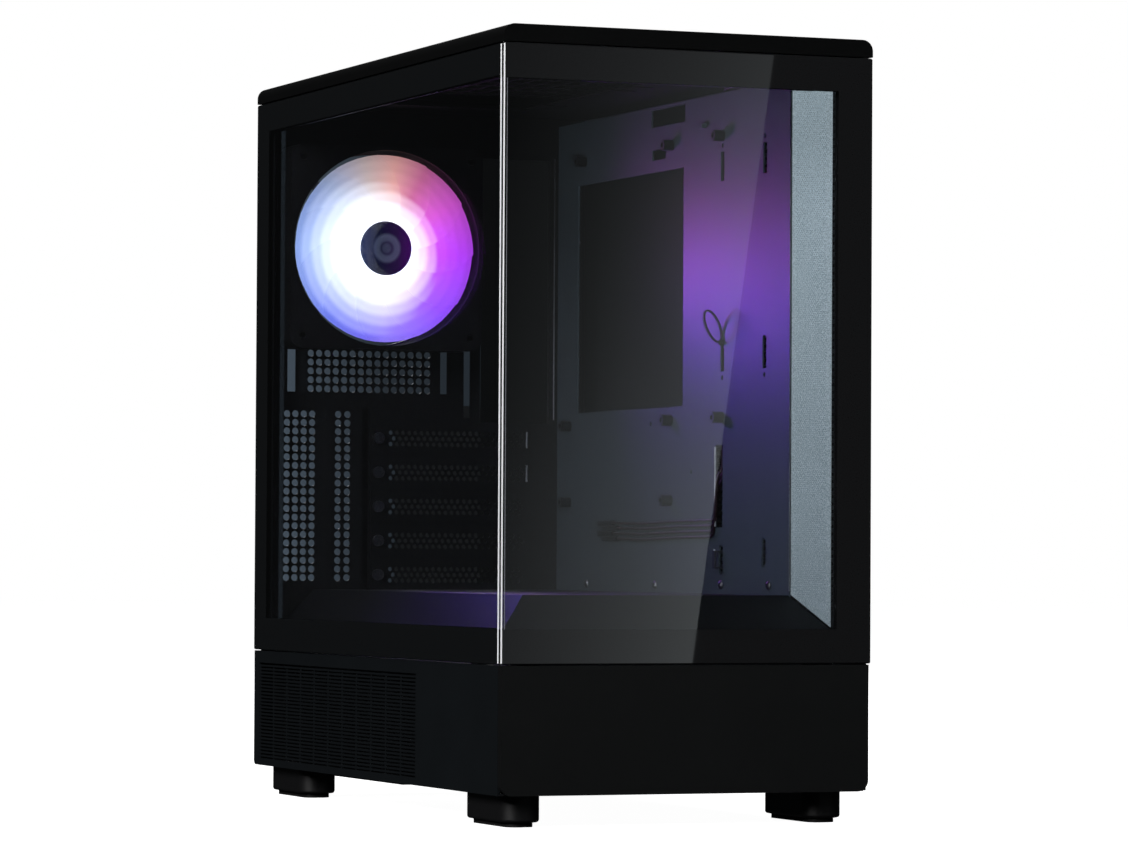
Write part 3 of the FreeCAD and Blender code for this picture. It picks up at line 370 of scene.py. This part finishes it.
# Name: dark colour, light colour, roughness, grain and what differs from a plain finish.
FINISHES = {
    "black_steel": ((0.0045, 0.0048, 0.005), (0.0085, 0.009, 0.0095), 0.42, 900.0, {}),
    # A lighter, bluer copy of the black paint for the left side: painted light.
    "left_steel_painted_light": ((0.0048, 0.0064, 0.008), (0.0088, 0.0116, 0.0142), 0.42, 900.0, {}),
    "inner_steel": ((0.007, 0.008, 0.009), (0.013, 0.0145, 0.016), 0.45, 2400.0, {"bump": 0.1}),
    "tray_steel": ((0.021, 0.026, 0.030), (0.030, 0.036, 0.041), 0.5, 2600.0, {"bump": 0.08}),
    "cover_steel": ((0.0018, 0.0019, 0.002), (0.0036, 0.0038, 0.004), 0.42, 900.0, {"specular": 0.35}),
    # The darkest copy of the black paint, under the top: painted shade.
    "ceiling_steel_painted_shade": ((0.0012, 0.0013, 0.0014), (0.0026, 0.0028, 0.003), 0.6, 800.0, {"specular": 0.2}),
    # A darker, bluish copy of the black paint for the shroud: painted shade.
    "shroud_steel_painted_shade": ((0.004, 0.0044, 0.0056), (0.0066, 0.0074, 0.009), 0.5, 2400.0, {"bump": 0.1}),
    # A darker copy of the black paint for the rear panel and slot covers: painted shade.
    "rear_steel_painted_shade": ((0.003, 0.0034, 0.0038), (0.006, 0.0066, 0.0072), 0.5, 800.0, {}),
    "panel_steel": ((0.009, 0.010, 0.011), (0.016, 0.017, 0.019), 0.45, 800.0, {}),
    "screw_steel": ((0.16, 0.16, 0.17), (0.34, 0.34, 0.35), 0.3, 1400.0, {"metallic": 1.0}),
    "bright_steel": ((0.5, 0.5, 0.51), (0.7, 0.7, 0.71), 0.28, 1400.0, {"metallic": 1.0}),
    "dark_zinc": ((0.014, 0.016, 0.018), (0.032, 0.035, 0.038), 0.4, 1200.0, {"metallic": 0.3}),
    # The next two finishes are light colours for strips that stand in for highlights on black edges:
    # painted highlights.
    "painted_highlight_grey": ((0.20, 0.21, 0.22), (0.34, 0.36, 0.38), 0.35, 2000.0, {}),
    "painted_highlight_pale": ((0.72, 0.74, 0.76), (0.90, 0.92, 0.94), 0.35, 2000.0, {}),
    "black_plastic": ((0.004, 0.004, 0.0045), (0.009, 0.009, 0.010), 0.5, 700.0, {}),
    "fan_plastic": ((0.006, 0.006, 0.007), (0.012, 0.012, 0.014), 0.45, 600.0, {}),
    "rubber": ((0.004, 0.004, 0.004), (0.010, 0.010, 0.010), 0.75, 500.0, {"bump": 0.4}),
    "circuit_board": ((0.008, 0.02, 0.014), (0.016, 0.035, 0.024), 0.4, 700.0, {}),
    "lead_sheath": ((0.020, 0.008, 0.009), (0.040, 0.018, 0.019), 0.4, 900.0, {}),
    "nylon_mesh": ((0.006, 0.006, 0.006), (0.016, 0.016, 0.017), 0.7, 2200.0, {"bump": 0.5}),
    "lens": ((0.5, 0.53, 0.55), (0.72, 0.75, 0.78), 0.15, 900.0, {}),
    "strap": ((0.006, 0.006, 0.006), (0.02, 0.02, 0.021), 0.8, 1600.0, {"bump": 0.6}),
}
materials = {}
for name, (dark, light, roughness, grain, extra) in FINISHES.items():
    materials[name] = surface(name, dark, light, roughness, grain, **extra)
materials["grey_mesh"] = strip_material()
materials["hub_cap"] = ringed_cap("hub_cap")
materials["frosted_blades"] = glowing_blades("frosted_blades", 1.75)
materials["front_glass"] = glass_material(
    "front_glass",
    side_axis="x",
    side_limits=(-0.2, 0.085),
    height_limits=(0.1027, 0.3875),
    painted_fan_light=(0.70, 0.71, 0.73),
    # The front border print is lighter than the left one: painted light on the front.
    print_dark=(0.013, 0.0135, 0.0145),
    print_light=(0.020, 0.0205, 0.022),
)
materials["left_glass"] = glass_material(
    "left_glass",
    side_axis="y",
    side_limits=(-0.3, 0.177),
    height_limits=(0.1033, 0.389),
    painted_fan_light=(0.80, 0.81, 0.84),
    print_dark=(0.006, 0.0067, 0.0075),
    print_light=(0.010, 0.0112, 0.0125),
)

SLOT_COVERS = [f"slot_cover_{number}" for number in range(1, 6)]

# The nodes that wear each material; the others are inner_steel.
WORN_BY = {
    "front_glass": ["front_glass"],
    "left_glass": ["left_glass"],
    "grey_mesh": ["intake_bevel"],
    "black_steel": ["front_skirt"],
    "cover_steel": ["top_cover"],
    "ceiling_steel_painted_shade": ["top_frame"],
    "shroud_steel_painted_shade": ["psu_shroud"],
    "tray_steel": ["motherboard_tray"],
    "left_steel_painted_light": ["left_skirt", "left_vent_louvres"],
    "panel_steel": ["right_side_panel", "right_vent_louvres"],
    "rear_steel_painted_shade": ["rear_panel", "slot_screw_shield", *SLOT_COVERS],
    "screw_steel": [
        "slot_cover_screws", "fan_screws", "foot_screws", "tray_screws", "thumbscrew_lower",
        "thumbscrew_upper",
    ],
    "bright_steel": ["front_glass_studs", "left_glass_studs", "usb_ports", "usb_c_port"],
    "dark_zinc": ["board_standoffs"],
    "fan_plastic": ["fan_frame"],
    "hub_cap": ["fan_hub_cap"],
    "frosted_blades": ["fan_rotor"],
    "circuit_board": ["fan_stator", "port_board"],
    "lead_sheath": ["front_panel_leads"],
    "strap": ["strap_loops"],
    "lens": ["status_led_lens"],
    "rubber": ["foot_pads", "psu_pads"],
    "nylon_mesh": ["top_filter_mesh", "psu_filter_mesh"],
    "black_plastic": [
        "front_clip_sockets", "left_clip_sockets", "foot_front_left", "foot_rear_left",
        "foot_front_right", "foot_rear_right", "psu_filter_rails", "header_plugs", "top_filter_rim",
        "psu_filter_rim", "audio_jack", "power_button", "reset_button",
    ],
}
material_of = {node: name for name, wearers in WORN_BY.items() for node in wearers}
for name, item in nodes_by_name.items():
    item.data.materials.clear()
    item.data.materials.append(materials[material_of.get(name, "inner_steel")])


# ---------------------------------------------------------------- mesh helpers

def add_mesh(name, points, faces, material, body, smooth=False):
    """A mesh piece in the row frame that rides a CAD body."""
    mesh = bpy.data.meshes.new(name)
    mesh.from_pydata([tuple(point) for point in points], [], faces)
    mesh.update()
    item = bpy.data.objects.new(name, mesh)
    bpy.context.collection.objects.link(item)
    mesh.materials.append(material)
    if smooth:
        mesh.polygons.foreach_set("use_smooth", [True] * len(mesh.polygons))
    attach(item, body)
    return item


def grid_faces(rows, columns, start=0, wrap=False):
    """Quads joining a rows by columns grid of points."""
    faces = []
    last = columns if wrap else columns - 1
    for row in range(rows - 1):
        for column in range(last):
            across = (column + 1) % columns
            a = start + row * columns + column
            b = start + row * columns + across
            faces.append((a, b, b + columns, a + columns))
    return faces


def on_circle(radius, angle, y):
    """A point at an angle round the fan's axis."""
    return (FAN_X + radius * math.cos(angle), y, FAN_Z + radius * math.sin(angle))


def blade_face(base, side, steps_out, steps_across):
    """One face of a swept, cambered blade, as rows of points from root to tip."""
    points = []
    for i in range(steps_out):
        t = i / (steps_out - 1)
        radius = BLADE_ROOT + (BLADE_TIP - BLADE_ROOT) * t
        sweep = 0.34 * t * t
        chord = math.radians(66 - 22 * t)
        pitch = 0.0090 - 0.0072 * t
        for j in range(steps_across):
            s = j / (steps_across - 1)
            angle = base + sweep + chord * (s - 0.5)
            camber = 0.0011 * math.sin(math.pi * s)
            points.append(on_circle(radius, angle, BLADE_FRONT_Y + pitch * s + camber + side * 0.0005))
    return points


def blade_rim(rows, columns):
    """Indices round the outside of a grid of points."""
    rim = list(range(columns))
    rim += [i * columns + columns - 1 for i in range(1, rows)]
    rim += [(rows - 1) * columns + j for j in range(columns - 2, -1, -1)]
    rim += [i * columns for i in range(rows - 2, 0, -1)]
    return rim


def fan_blades():
    """Curved, pitched and overlapping blades on a rounded hub cup."""
    count, rows, columns, sides = 11, 12, 8, 64
    size = rows * columns
    points = []
    faces = []
    for number in range(count):
        base = 2 * math.pi * number / count
        lower = len(points)
        upper = lower + size
        for start, side in ((lower, -1), (upper, 1)):
            points += blade_face(base, side, rows, columns)
            faces += grid_faces(rows, columns, start)
        rim = blade_rim(rows, columns)
        for here, after in zip(rim, rim[1:] + rim[:1]):
            faces.append((lower + here, lower + after, upper + after, upper + here))
    profile = [
        (0.0, 0.1756),
        (0.0150, 0.1756),
        (0.0161, 0.1759),
        (0.0168, 0.1766),
        (HUB_RADIUS, 0.1776),
        (HUB_RADIUS, 0.1889),
        (0.0145, 0.1889),
        (0.0145, 0.1775),
        (0.0, 0.1775),
    ]
    first_hub_point = len(points)
    first_hub_face = len(faces)
    for radius, y in profile:
        points += [on_circle(radius, 2 * math.pi * k / sides, y) for k in range(sides)]
    faces += grid_faces(len(profile), sides, first_hub_point, wrap=True)
    blades = materials["frosted_blades"]
    rotor = add_mesh("fan_blades_lit", points, faces, blades, "rear_fan_rotor", smooth=True)
    rotor.data.materials.append(materials["hub_cap"])
    for index in range(first_hub_face, first_hub_face + 2 * sides):
        rotor.data.polygons[index].material_index = 1
    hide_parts("fan_rotor")


def rounded_strip(name, low, high, material):
    """A slim upright strip of the chassis with softened corners, between two opposite corners."""
    x0, y0, z0 = low
    x1, y1, z1 = high
    cut_x, cut_y = 0.25 * (x1 - x0), 0.25 * (y1 - y0)
    outline = [
        (x0 + cut_x, y0), (x1 - cut_x, y0), (x1, y0 + cut_y), (x1, y1 - cut_y),
        (x1 - cut_x, y1), (x0 + cut_x, y1), (x0, y1 - cut_y), (x0, y0 + cut_y),
    ]
    points = [(x, y, z) for z in (z0, z1) for x, y in outline]
    faces = grid_faces(2, 8, wrap=True)
    faces += [tuple(reversed(range(8))), tuple(range(8, 16))]
    add_mesh(name, points, faces, material, "chassis")


def painted_highlight_edges():
    """Light-coloured strips on cut edges and small tabs of the sheet metal: painted highlights."""
    highlight_strips = {
        "aperture_edge_highlight": ((0.0833, 0.1966, 0.2225), (0.0840, 0.1974, 0.3805)),
        "slot_tab_highlight_1": ((0.0658, 0.1964, 0.2053), (0.0670, 0.1974, 0.2150)),
        "slot_tab_highlight_2": ((0.0658, 0.1964, 0.1850), (0.0670, 0.1974, 0.1950)),
        "cable_slot_highlight_high": ((0.0846, -0.0446, 0.1575), (0.0854, -0.0430, 0.2020)),
        "cable_slot_highlight_low": ((0.0846, -0.0440, 0.1345), (0.0854, -0.0426, 0.1448)),
        "tray_front_edge_highlight": ((0.0854, -0.1432, 0.1222), (0.0861, -0.1423, 0.3925)),
    }
    for name, (low, high) in highlight_strips.items():
        highlight_finish = "painted_highlight_pale" if name.startswith("cable_slot") else "painted_highlight_grey"
        rounded_strip(name, low, high, materials[highlight_finish])


fan_blades()
painted_highlight_edges()


# ---------------------------------------------------------------- studio

RAY_KINDS = ("camera", "glossy", "diffuse", "transmission", "shadow")


def stage_mesh(name, points, faces, material, hidden_from):
    """A stage piece such as the floor or a card, hidden from some kinds of ray."""
    mesh = bpy.data.meshes.new(name)
    mesh.from_pydata(points, [], faces)
    mesh.update()
    item = bpy.data.objects.new(name, mesh)
    bpy.context.collection.objects.link(item)
    mesh.materials.append(material)
    for kind in RAY_KINDS:
        setattr(item, f"visible_{kind}", kind not in hidden_from)


def emitter(name, colour, strength):
    """A plain glowing stage material."""
    shader = Shader(name)
    return shader.highlight_finish(shader.emission(colour, strength))


def pale_floor():
    """A pale floor that glows nearly white."""
    shader = Shader("floor")
    fine = shader.noise(60.0, 4.0)
    colour = shader.ramp(fine, [(0.3, (0.86, 0.86, 0.86)), (0.7, (0.9, 0.9, 0.9))])
    material = shader.highlight_finish(shader.principled(
        Base_Color=colour,
        Roughness=0.9,
        Specular_IOR_Level=0.1,
        Emission_Color=(1.0, 1.0, 1.0, 1.0),
        Emission_Strength=0.985,
    ))
    size = 11.0
    points = [(-size, -size, 0.0), (size, -size, 0.0), (size, size, 0.0), (-size, size, 0.0)]
    stage_mesh("floor", points, [(0, 1, 2, 3)], material, ("glossy", "diffuse", "transmission"))


def backdrop():
    """A large white ball round everything, seen only straight from the camera."""
    rings, sides, radius = 16, 48, 12.0
    points = []
    for ring in range(rings + 1):
        lift = -math.pi / 2 + math.pi * ring / rings
        for side in range(sides):
            turn = 2 * math.pi * side / sides
            points.append((
                radius * math.cos(lift) * math.cos(turn),
                radius * math.cos(lift) * math.sin(turn),
                radius * math.sin(lift),
            ))
    faces = grid_faces(rings + 1, sides, wrap=True)
    white = emitter("backdrop", (1, 1, 1), 1.0)
    stage_mesh("backdrop", points, faces, white, ("glossy", "diffuse", "transmission", "shadow"))


def area_lamp(name, shape, power, colour):
    """An area lamp, not yet placed."""
    lamp = bpy.data.lights.new(name, "AREA")
    lamp.shape = shape
    lamp.energy = power
    lamp.color = colour
    item = bpy.data.objects.new(name, lamp)
    bpy.context.collection.objects.link(item)
    return item


def area_light(name, position, target, size, power, colour=(1, 1, 1), glossy=True):
    """A rectangular lamp turned to its target."""
    item = area_lamp(name, "RECTANGLE", power, colour)
    item.data.size, item.data.size_y = size
    item.location = position
    heading = Vector(target) - Vector(position)
    item.rotation_mode = "QUATERNION"
    item.rotation_quaternion = heading.to_track_quat("-Z", "Y")
    item.visible_glossy = glossy
    return item


FAN_LIT = (
    "motherboard_tray", "psu_shroud", "intake_bevel", "front_frame", "strap_loops", "front_panel_leads",
    "header_plugs", "board_standoffs", "tray_screws", "fan_frame",
)
INNER_LIT = ("motherboard_tray", "strap_loops", "tray_screws")
RIGHT_LIT = ("right_side_panel", "right_vent_louvres", "thumbscrew_lower", "thumbscrew_upper")
BACK_LIT = (
    "rear_panel", "thumbscrew_lower", "thumbscrew_upper", "fan_screws", "slot_screw_shield",
    "slot_cover_screws", "bottom_pan", "psu_filter_rim", "psu_filter_mesh", "psu_filter_rails",
    "foot_rear_left", "foot_rear_right",
)


def receivers(name, members):
    """A collection of the only nodes that a lamp lights."""
    kept = bpy.data.collections.new(name)
    for member in members:
        kept.objects.link(nodes_by_name[member])
    return kept


fan_lit = receivers("lit_by_fan", FAN_LIT)
inner_lit = receivers("lit_inside", INNER_LIT)
back_lit = receivers("lit_behind", BACK_LIT)
right_lit = receivers("lit_from_right", RIGHT_LIT)


def fan_lamp(name, dx, dz, width, power, colour):
    """Light that the lit fan throws forward into the case."""
    item = area_lamp(name, "DISK", power, colour)
    item.data.size = width
    item.data.spread = math.radians(FAN_LAMP_SPREAD)
    item.location = (FAN_X + dx, FAN_LAMP_Y, FAN_Z + dz)
    item.rotation_euler = (math.radians(-90), 0, 0)
    item.visible_transmission = False
    item.light_linking.receiver_collection = fan_lit


def camera():
    """The main camera, low in front of the left corner."""
    yaw, pitch, roll = (math.radians(angle) for angle in (CAMERA_YAW, CAMERA_PITCH, CAMERA_ROLL))
    level = math.cos(pitch)
    forward = Vector((math.sin(yaw) * level, math.cos(yaw) * level, math.sin(pitch)))
    level_right = Vector((math.cos(yaw), -math.sin(yaw), 0.0))
    level_up = level_right.cross(forward)
    right = math.cos(roll) * level_right + math.sin(roll) * level_up
    up = -math.sin(roll) * level_right + math.cos(roll) * level_up
    data = bpy.data.cameras.new("camera")
    data.lens = CAMERA_LENS_MM
    data.sensor_width = CAMERA_SENSOR_MM
    data.clip_start, data.clip_end = 0.05, 60.0
    item = bpy.data.objects.new("camera", data)
    bpy.context.collection.objects.link(item)
    turn = Matrix((right, up, -forward)).transposed()
    item.matrix_world = Matrix.Translation(CAMERA_AT) @ turn.to_4x4()
    bpy.context.scene.camera = item


def glare_card():
    """A soft card that the front glass mirrors as a tilted, fading glare."""
    corners = []
    for x, z in ((0.0474, 0.4059), (0.0021, 0.0847)):
        on_glass = Vector((x, GLASS_FRONT_Y, z))
        ray = (on_glass - CAMERA_AT).normalized()
        corners.append(on_glass + Vector((ray.x, -ray.y, ray.z)) * GLARE_CARD_AWAY)
    top, bottom = corners
    margin = (top - bottom) * 0.25
    top = top + margin
    bottom = bottom - margin
    left = Vector((-GLARE_CARD_WIDTH, 0.0, 0.0))
    points = [bottom, top, top + left, bottom + left]
    shader = Shader("glare_card")
    x, _, z = shader.axes()
    lean = (top.x - bottom.x) / (top.z - bottom.z)
    edge = shader.math("MULTIPLY_ADD", z, lean, bottom.x - lean * bottom.z)
    away = shader.math("SUBTRACT", edge, x)
    far = shader.math("DIVIDE", away, GLARE_WIDTH, clamp=True)
    near = shader.math("SUBTRACT", 1.0, far, clamp=True)
    lower = shader.math("SUBTRACT", 1.15, shader.math("MULTIPLY", z, 1.1), clamp=True)
    fade = shader.math("MULTIPLY", shader.math("POWER", near, 3.0), lower)
    glow = shader.emission((0.9, 0.97, 1.0), shader.math("MULTIPLY", fade, GLARE))
    material = shader.highlight_finish(glow)
    stage_mesh("glare_card", [tuple(point) for point in points], [(0, 1, 2, 3)], material,
               ("camera", "diffuse", "transmission", "shadow"))


def grey_cards():
    """Dim cards behind the case, seen only through the glass and the rear vents."""
    shader = Shader("grey_card")
    x = shader.axes()[0]
    fading = shader.math("MULTIPLY_ADD", x, -1.6, 0.245)
    strength = shader.math("MINIMUM", shader.math("MAXIMUM", fading, 0.05), 0.17)
    grey = shader.highlight_finish(shader.emission((0.72, 0.95, 1.15), strength))
    dark = emitter("dark_card", (0.9, 1.0, 1.0), 0.004)
    cards = (
        ("grey_card_low", -0.25, 0.128, -0.05, grey),
        ("grey_card_high", 0.1281, 0.19, 0.243, grey),
        ("dark_card", 0.1901, 0.4, 0.0, dark),
    )
    for name, x0, x1, z0, material in cards:
        points = [(x0, CARD_Y, z0), (x1, CARD_Y, z0), (x1, CARD_Y, CARD_TOP), (x0, CARD_Y, CARD_TOP)]
        stage_mesh(name, points, [(0, 1, 2, 3)], material, ("camera", "glossy", "diffuse", "shadow"))


def studio_world():
    """A very dim even surround, and colours shown without a tone curve."""
    world = bpy.data.worlds.new("studio")
    bpy.context.scene.world = world
    world.use_nodes = True
    background = world.node_tree.nodes["Background"]
    background.inputs["Color"].default_value = (0.9, 0.96, 1.0, 1.0)
    background.inputs["Strength"].default_value = 0.013
    bpy.context.scene.view_settings.view_transform = "Standard"


def lights():
    """Soft studio lamps, and lamps that light only part of the tower."""
    area_light("key", (-2.7, -1.9, 1.6), LAMP_TARGET, (1.2, 1.2), 75)
    area_light("front_fill", (0.2, -3.2, 2.2), LAMP_TARGET, (1.5, 0.8), 9, glossy=False)
    area_light("top", (0.0, 0.3, 3.0), LAMP_TARGET, (2.0, 2.0), 25)
    tray_fill = area_light(
        "tray_fill",
        (-0.15, -0.6, 0.2),
        (0.087, -0.1, 0.22),
        (0.4, 0.4),
        28,
        (0.85, 0.97, 1.0),
        glossy=False,
    )
    tray_fill.light_linking.receiver_collection = inner_lit
    area_light("rear_fill", (1.5, 2.4, 1.6), LAMP_TARGET, (1.2, 1.2), 20)
    back_soft = area_light("back_soft", (0.9, 2.6, 1.3), LAMP_TARGET, (2.0, 1.6), 90)
    back_soft.light_linking.receiver_collection = back_lit
    right_soft = area_light("right_soft", (2.6, 0.5, 1.2), LAMP_TARGET, (2.0, 1.6), 90)
    right_soft.light_linking.receiver_collection = right_lit
    fan_lamp("fan_light_pink", 0.012, 0.016, 0.035, 0.045, (1.0, 0.14, 0.4))
    fan_lamp("fan_light_purple", 0.03, -0.012, 0.05, 0.165, (0.5, 0.07, 1.0))
    fan_lamp("fan_light_violet", -0.005, -0.036, 0.05, 0.25, (0.13, 0.07, 1.0))


studio_world()
pale_floor()
backdrop()
glare_card()
grey_cards()
camera()
lights()
